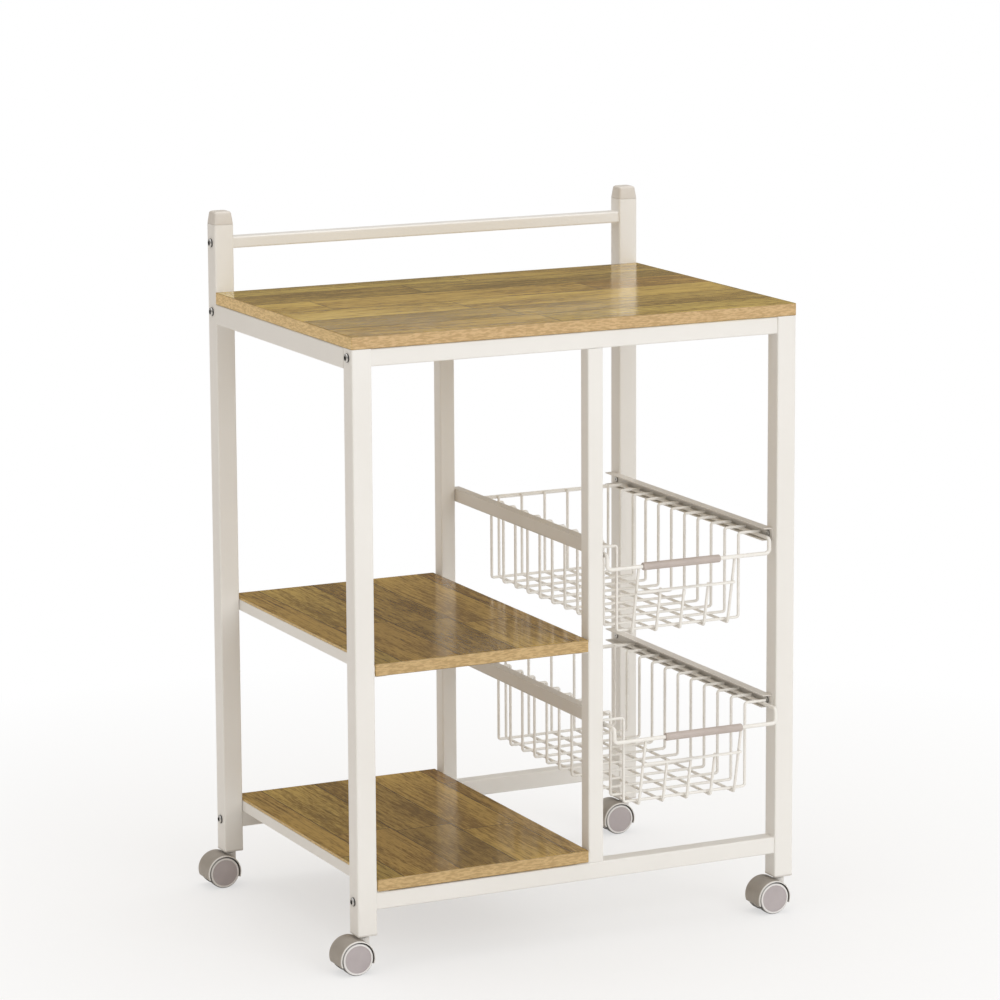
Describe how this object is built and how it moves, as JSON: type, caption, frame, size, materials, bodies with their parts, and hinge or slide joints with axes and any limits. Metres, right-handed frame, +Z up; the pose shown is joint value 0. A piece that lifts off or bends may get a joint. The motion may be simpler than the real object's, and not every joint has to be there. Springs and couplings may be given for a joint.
{
  "type": "kitchen cart",
  "caption": "White tube-frame kitchen cart with a wood-print top, open shelves, pull-out wire baskets, a push rail and twin-wheel casters.",
  "frame": {"origin": "centre of the bounding box's underside, on the floor under the casters", "axes": "+X to the right seen from the front, +Y from the front to the push rail at the back, +Z up"},
  "size_m": [0.6128, 0.4598, 0.856],
  "materials": {
    "white_coat": "satin powder coat",
    "cap_plastic": "satin",
    "panel_board": "glossy wood-print laminate",
    "shelf_board": "glossy wood-print laminate",
    "runner_coat": "satin powder coat",
    "basket_coat": "gloss coating",
    "grip_plastic": "satin",
    "hood_plastic": "satin",
    "wheel_plastic": "satin",
    "socket_plastic": "satin",
    "fastener_steel": "bright zinc"
  },
  "bodies": {
    "frame": {"left_front_post": "white_coat", "left_rear_post": "white_coat", "right_front_post": "white_coat", "right_rear_post": "white_coat", "mid_front_post": "white_coat", "mid_rear_post": "white_coat", "left_side_rail": "white_coat", "right_side_rail": "white_coat", "front_top_rail": "white_coat", "front_bottom_rail": "white_coat", "rear_top_rail": "white_coat", "rear_bottom_rail": "white_coat", "push_rail": "white_coat", "rear_post_caps": "cap_plastic", "top_panel": "panel_board", "middle_shelf_angles": "white_coat", "middle_shelf": "shelf_board", "bottom_shelf_angles": "white_coat", "bottom_shelf": "shelf_board", "upper_left_runner": "runner_coat", "upper_right_runner": "runner_coat", "lower_left_runner": "runner_coat", "lower_right_runner": "runner_coat", "caster_sockets": "socket_plastic", "frame_bolts": "fastener_steel", "tube_plugs": "socket_plastic", "mid_post_screws": "fastener_steel", "board_screws": "fastener_steel", "runner_screws": "fastener_steel"},
    "upper_basket": {"upper_basket_rim": "basket_coat", "upper_basket_ribs": "basket_coat", "upper_basket_long_wires": "basket_coat", "upper_basket_front_wire": "basket_coat", "upper_basket_grip": "grip_plastic"},
    "lower_basket": {"lower_basket_rim": "basket_coat", "lower_basket_ribs": "basket_coat", "lower_basket_long_wires": "basket_coat", "lower_basket_front_wire": "basket_coat", "lower_basket_grip": "grip_plastic"},
    "left_front_caster": {"left_front_caster_hood": "hood_plastic", "left_front_caster_stem": "fastener_steel", "left_front_caster_axle": "fastener_steel"},
    "left_front_caster_front_wheel": {"left_front_caster_front_wheel": "wheel_plastic"},
    "left_front_caster_rear_wheel": {"left_front_caster_rear_wheel": "wheel_plastic"},
    "left_rear_caster": {"left_rear_caster_hood": "hood_plastic", "left_rear_caster_stem": "fastener_steel", "left_rear_caster_axle": "fastener_steel"},
    "left_rear_caster_front_wheel": {"left_rear_caster_front_wheel": "wheel_plastic"},
    "left_rear_caster_rear_wheel": {"left_rear_caster_rear_wheel": "wheel_plastic"},
    "right_front_caster": {"right_front_caster_hood": "hood_plastic", "right_front_caster_stem": "fastener_steel", "right_front_caster_axle": "fastener_steel"},
    "right_front_caster_front_wheel": {"right_front_caster_front_wheel": "wheel_plastic"},
    "right_front_caster_rear_wheel": {"right_front_caster_rear_wheel": "wheel_plastic"},
    "right_rear_caster": {"right_rear_caster_hood": "hood_plastic", "right_rear_caster_stem": "fastener_steel", "right_rear_caster_axle": "fastener_steel"},
    "right_rear_caster_front_wheel": {"right_rear_caster_front_wheel": "wheel_plastic"},
    "right_rear_caster_rear_wheel": {"right_rear_caster_rear_wheel": "wheel_plastic"}
  },
  "joints": [
    {"name": "upper_basket_slide", "type": "slide", "parent": "frame", "child": "upper_basket", "axis": [0, -1, 0], "range_m": [0, 0.3]},
    {"name": "lower_basket_slide", "type": "slide", "parent": "frame", "child": "lower_basket", "axis": [0, -1, 0], "range_m": [-0.018, 0.282]},
    {"name": "left_front_caster_swivel", "type": "hinge", "parent": "frame", "child": "left_front_caster", "pos_m": [-0.2691, -0.20062, 0.044], "axis": [0, 0, 1], "continuous": true},
    {"name": "left_front_caster_front_wheel_roll", "type": "hinge", "parent": "left_front_caster", "child": "left_front_caster_front_wheel", "pos_m": [-0.2841, -0.20062, 0.02], "axis": [0, 1, 0], "continuous": true},
    {"name": "left_front_caster_rear_wheel_roll", "type": "hinge", "parent": "left_front_caster", "child": "left_front_caster_rear_wheel", "pos_m": [-0.2841, -0.20062, 0.02], "axis": [0, 1, 0], "continuous": true},
    {"name": "left_rear_caster_swivel", "type": "hinge", "parent": "frame", "child": "left_rear_caster", "pos_m": [-0.2691, 0.21138, 0.044], "axis": [0, 0, 1], "continuous": true},
    {"name": "left_rear_caster_front_wheel_roll", "type": "hinge", "parent": "left_rear_caster", "child": "left_rear_caster_front_wheel", "pos_m": [-0.2841, 0.21138, 0.02], "axis": [0, 1, 0], "continuous": true},
    {"name": "left_rear_caster_rear_wheel_roll", "type": "hinge", "parent": "left_rear_caster", "child": "left_rear_caster_rear_wheel", "pos_m": [-0.2841, 0.21138, 0.02], "axis": [0, 1, 0], "continuous": true},
    {"name": "right_front_caster_swivel", "type": "hinge", "parent": "frame", "child": "right_front_caster", "pos_m": [0.2909, -0.20062, 0.044], "axis": [0, 0, 1], "continuous": true},
    {"name": "right_front_caster_front_wheel_roll", "type": "hinge", "parent": "right_front_caster", "child": "right_front_caster_front_wheel", "pos_m": [0.2759, -0.20062, 0.02], "axis": [0, 1, 0], "continuous": true},
    {"name": "right_front_caster_rear_wheel_roll", "type": "hinge", "parent": "right_front_caster", "child": "right_front_caster_rear_wheel", "pos_m": [0.2759, -0.20062, 0.02], "axis": [0, 1, 0], "continuous": true},
    {"name": "right_rear_caster_swivel", "type": "hinge", "parent": "frame", "child": "right_rear_caster", "pos_m": [0.2909, 0.21138, 0.044], "axis": [0, 0, 1], "continuous": true},
    {"name": "right_rear_caster_front_wheel_roll", "type": "hinge", "parent": "right_rear_caster", "child": "right_rear_caster_front_wheel", "pos_m": [0.2759, 0.21138, 0.02], "axis": [0, 1, 0], "continuous": true},
    {"name": "right_rear_caster_rear_wheel_roll", "type": "hinge", "parent": "right_rear_caster", "child": "right_rear_caster_rear_wheel", "pos_m": [0.2759, 0.21138, 0.02], "axis": [0, 1, 0], "continuous": true}
  ]
}
